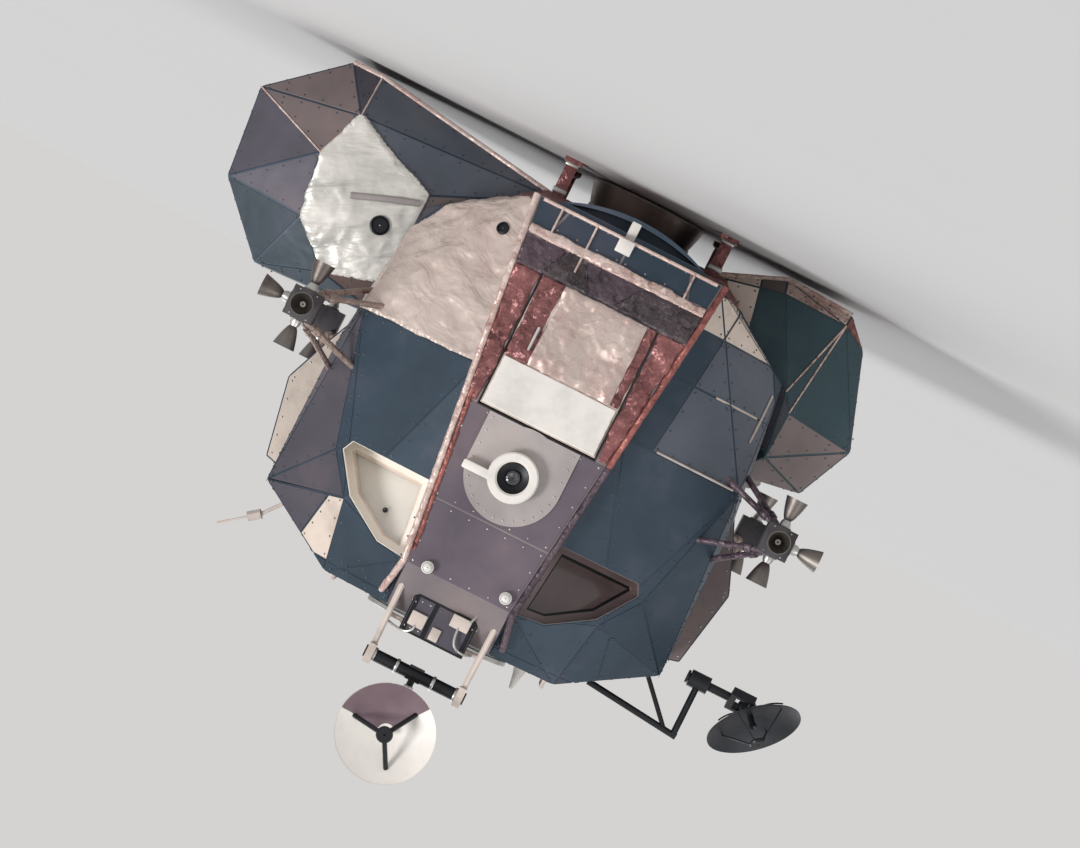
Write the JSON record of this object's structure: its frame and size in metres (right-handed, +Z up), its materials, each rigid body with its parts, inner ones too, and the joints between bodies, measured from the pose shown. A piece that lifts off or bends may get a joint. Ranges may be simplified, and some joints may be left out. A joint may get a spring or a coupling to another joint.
{
  "type": "ascent stage of a two-stage lunar lander",
  "caption": "Crewed ascent stage of a two-stage lunar lander: faceted cabin, offset tank bays, thruster quads, dish antennas, hatches and engine bell.",
  "frame": {"origin": "centre of the four interstage bolts, on the plane of the feet, on the thrust axis", "axes": "+X to port, +Y aft, +Z up along the thrust axis"},
  "size_m": [4.7733, 3.995, 3.9324],
  "materials": {
    "band_panel": "satin, grey with dark foil below",
    "dark_panel": "satin blue-black",
    "beige_foil": "wrinkled aluminised foil",
    "red_foil": "wrinkled reddish foil",
    "white_panel": "matt white",
    "grey_panel": "satin grey",
    "silver_blanket": "wrinkled silver blanket",
    "brown_panel": "satin brown-grey",
    "window_glass": "clear, coated",
    "shade_cream": "matt cream",
    "console_grey": "matt grey",
    "bare_metal": "machined",
    "bell_metal": "dark ablative lining",
    "thruster_grey": "satin dark grey",
    "pale_strut": "wrapped in pale foil",
    "black_anodised": "matt black",
    "dish_white": "matt cream white",
    "dish_dark": "matt dark grey",
    "lamp_white": "lens"
  },
  "bodies": {
    "stage": {"cabin_front_band": "band_panel", "cabin_face_port": "dark_panel", "cabin_face_starboard": "dark_panel", "cabin_cheek_port": "beige_foil", "cabin_cheek_starboard": "dark_panel", "cabin_roof": "dark_panel", "cabin_floor": "red_foil", "cabin_side_port": "dark_panel", "cabin_side_starboard": "dark_panel", "window_glass_port": "window_glass", "window_glass_starboard": "window_glass", "docking_window_glass": "window_glass", "window_shade_port": "shade_cream", "arch_plate": "grey_panel", "tracking_light": "white_panel", "instrument_console": "console_grey", "chin_pan": "dark_panel", "midsection_hull": "dark_panel", "midsection_roof": "dark_panel", "midsection_base": "red_foil", "docking_tunnel": "bare_metal", "engine_block": "console_grey", "engine_nozzle": "bell_metal", "aft_equipment_bay": "dark_panel", "aft_equipment_rack": "silver_blanket", "tank_bay_port": "dark_panel", "tank_bay_starboard": "brown_panel", "thruster_quad_front_port": "thruster_grey", "thruster_quad_front_starboard": "thruster_grey", "thruster_quad_aft_port": "thruster_grey", "thruster_quad_aft_starboard": "thruster_grey", "radar_pedestal": "pale_strut", "radar_housing": "black_anodised", "steerable_boom": "black_anodised", "vhf_antennas": "pale_strut", "stub_antennas": "white_panel", "docking_lights": "lamp_white", "eva_antenna": "white_panel", "docking_target": "black_anodised", "edge_rails": "pale_strut"},
    "forward_hatch": {"forward_hatch": "beige_foil", "hatch_shield": "white_panel"},
    "overhead_hatch": {"overhead_hatch": "white_panel"},
    "radar_shaft": {"radar_shaft": "black_anodised"},
    "radar_dish": {"radar_dish": "dish_white"},
    "steerable_yoke": {"steerable_yoke": "black_anodised"},
    "steerable_dish": {"steerable_dish": "dish_dark"}
  },
  "joints": [
    {"name": "forward_hatch_hinge", "type": "hinge", "parent": "stage", "child": "forward_hatch", "pos_m": [-0.402, -1.784, 1.185], "axis": [0, 0, 1], "range_deg": [0, 90]},
    {"name": "overhead_hatch_hinge", "type": "hinge", "parent": "stage", "child": "overhead_hatch", "pos_m": [0, 0.4735, 2.851], "axis": [1, 0, 0], "range_deg": [0, 85]},
    {"name": "radar_shaft_turn", "type": "hinge", "parent": "stage", "child": "radar_shaft", "pos_m": [0, -1.59, 3.248], "axis": [1, 0, 0], "range_deg": [-100, 60]},
    {"name": "radar_trunnion", "type": "hinge", "parent": "radar_shaft", "child": "radar_dish", "pos_m": [0, -1.59, 3.63], "axis": [0, 0, 1], "range_deg": [-70, 70]},
    {"name": "steerable_pitch", "type": "hinge", "parent": "stage", "child": "steerable_yoke", "pos_m": [-1.935, -0.64, 2.555], "axis": [1, 0, 0], "range_deg": [-165, 165]},
    {"name": "steerable_yaw", "type": "hinge", "parent": "steerable_yoke", "child": "steerable_dish", "pos_m": [-1.935, -0.64, 2.555], "axis": [0, -0.7986, -0.6018], "range_deg": [-35, 50]}
  ]
}
